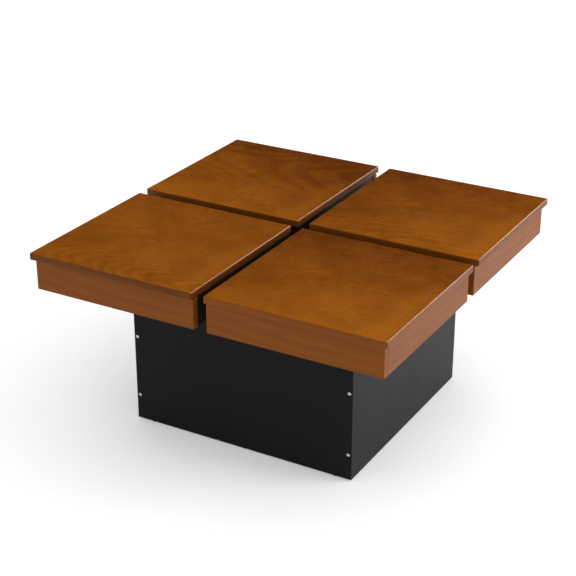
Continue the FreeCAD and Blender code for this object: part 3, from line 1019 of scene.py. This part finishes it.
class LIFTTABLE_OT_screws(bpy.types.Operator):
    """Make the screws of the base, the trays, the brackets and the lids"""
    bl_idname = "lifttable.screws"
    bl_label = "Screws"

    def execute(self, context):
        place_screws("base_screws", "root", 1.2 * MM, 3)
        place_screws("tray_screws", "root", 1.2 * MM, 5)
        place_screws("bracket_screws", "root", 2.0 * MM, 7)
        for number, quadrant in enumerate(QUADRANTS):
            place_screws(quadrant + "_lid_screws", quadrant + "_lid", 1.2 * MM, 11 + number)
        return {"FINISHED"}


class LIFTTABLE_OT_rivets(bpy.types.Operator):
    """Make the rivets that the arms turn on, the spring studs and the stop pins"""
    bl_idname = "lifttable.rivets"
    bl_label = "Rivets and pins"

    def execute(self, context):
        sizes = RIVET_HEAD, RIVET_HEIGHT, RIVET_SHANK
        for quadrant in QUADRANTS:
            node = quadrant + "_lid_rivets"
            seats = seats_of(node)
            part = rivet(*sizes, seats[0][2], True, "lid_rivet")
            place_copies(node, quadrant + "_lid", part, seats, zinc())
        seats = seats_of("bracket_rivets")
        part = rivet(*sizes, seats[0][2], False, "bracket_rivet")
        place_copies("bracket_rivets", "root", part, seats, zinc())
        seats = seats_of("bracket_pins")
        longest = max(seat[2] for seat in seats)
        shortest_stud = 0.9 * longest
        studs = [seat for seat in seats if seat[2] > shortest_stud]
        pins = [seat for seat in seats if seat[2] <= shortest_stud]
        sizes = STUD_HEAD, STUD_HEIGHT, STUD_SHANK
        part = rivet(*sizes, studs[0][2], False, "spring_stud")
        place_copies("bracket_pins", "root", part, studs, zinc())
        length, face = pins[0][2], PIN_RADIUS - PIN_CHAMFER
        part = lathe([(0.0, 0.0), (face, 0.0), (PIN_RADIUS, -PIN_CHAMFER),
                      (PIN_RADIUS, PIN_CHAMFER - length), (face, -length), (0.0, -length)],
                     24, "stop_pin")
        mesh = copies("stop_pins_made", part, [seat[:2] for seat in pins], zinc())
        add_piece(mesh, "root")
        return {"FINISHED"}


class LIFTTABLE_OT_springs(bpy.types.Operator):
    """Make the extension springs, each of one wire from ring to ring"""
    bl_idname = "lifttable.springs"
    bl_label = "Springs"

    def execute(self, context):
        metal = context.scene.lifttable_metal
        wire = metal.wire_radius
        steel = finish("Spring steel", plated, (0.36, 0.36, 0.35), 0.30)
        for quadrant in QUADRANTS:
            node = quadrant + "_springs"
            paths = []
            for low, high in boxes_of(node):
                middle = (low + high) / 2
                ends = [middle.copy(), middle.copy()]
                ends[0].y, ends[1].y = low.y + RING_RADIUS, high.y - RING_RADIUS
                anchor, tail = sorted(ends, key=lambda end: abs(end.y))
                paths.append(spring_path(tail, anchor, COIL_RADIUS - wire,
                                         RING_RADIUS - wire, metal.spring_turns))
            mesh = wires(node + "_wound", paths, wire, steel, sides=8)
            piece = add_piece(mesh, "root", (node,))
            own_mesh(piece)
        return {"FINISHED"}


class LIFTTABLE_OT_pads(bpy.types.Operator):
    """Make the rubber buttons under the lids and the glides under the base"""
    bl_idname = "lifttable.pads"
    bl_label = "Buttons and glides"

    def execute(self, context):
        up = Vector((0.0, 0.0, 1.0))
        rubber = finish("Bumper rubber", moulded, (0.03, 0.03, 0.03), 0.55)
        seats = seats_of("rim_bumpers", up)
        height = seats[0][2]
        button = lathe([(radius * MM, share * height) for radius, share in (
            (0.0, 0.0), (1.6, -0.03), (2.8, -0.14), (3.6, -0.38), (4.0, -0.75),
            (4.0, -1.0), (0.0, -1.0))], 24, "button")
        place_copies("rim_bumpers", "root", button, seats, rubber)
        nylon = finish("Glide nylon", moulded, (0.02, 0.02, 0.02), 0.42)
        seats = seats_of("floor_glides", -up)
        height = seats[0][2]
        glide = lathe([(radius * MM, share * height) for radius, share in (
            (0.0, 0.0), (4.6, 0.0), (6.1, -0.12), (6.8, -0.36), (7.0, -0.66),
            (7.0, -1.0), (0.0, -1.0))], 28, "glide")
        place_copies("floor_glides", "root", glide, seats, nylon)
        return {"FINISHED"}


class LIFTTABLE_OT_stage(bpy.types.Operator):
    """Set up the floor, the lights and the camera"""
    bl_idname = "lifttable.stage"
    bl_label = "Stage"

    def execute(self, context):
        scene = context.scene
        scene.view_settings.view_transform = "Standard"
        add_floor(scene)
        add_light("key", KEY_PLACE, KEY_AIM, KEY_SIZE, scene.lifttable_stage.key)
        add_world(scene)
        add_camera(scene)
        return {"FINISHED"}


class LIFTTABLE_PT_panel(bpy.types.Panel):
    """The pieces of the table, in the order in which they are made"""
    bl_idname = "LIFTTABLE_PT_panel"
    bl_label = "Lift top table"
    bl_space_type = "VIEW_3D"
    bl_region_type = "UI"
    bl_category = "Table"

    def draw(self, context):
        for operator in OPERATORS:
            self.layout.operator(operator.bl_idname)


OPERATORS = (
    LIFTTABLE_OT_lids,
    LIFTTABLE_OT_tray_boards,
    LIFTTABLE_OT_tray_carcass,
    LIFTTABLE_OT_base,
    LIFTTABLE_OT_linkage,
    LIFTTABLE_OT_screws,
    LIFTTABLE_OT_rivets,
    LIFTTABLE_OT_springs,
    LIFTTABLE_OT_pads,
    LIFTTABLE_OT_stage,
)


def register():
    for name, group in PROPERTY_GROUPS.items():
        bpy.utils.register_class(group)
        setattr(bpy.types.Scene, name, PointerProperty(type=group))
    for item in (*OPERATORS, LIFTTABLE_PT_panel):
        bpy.utils.register_class(item)


def unregister():
    for item in (LIFTTABLE_PT_panel, *reversed(OPERATORS)):
        bpy.utils.unregister_class(item)
    for name, group in PROPERTY_GROUPS.items():
        delattr(bpy.types.Scene, name)
        bpy.utils.unregister_class(group)


def main():
    """Make every piece in order."""
    register()
    for operator in OPERATORS:
        name = operator.bl_idname.split(".")[1]
        getattr(bpy.ops.lifttable, name)()


if __name__ == "__main__":
    main()
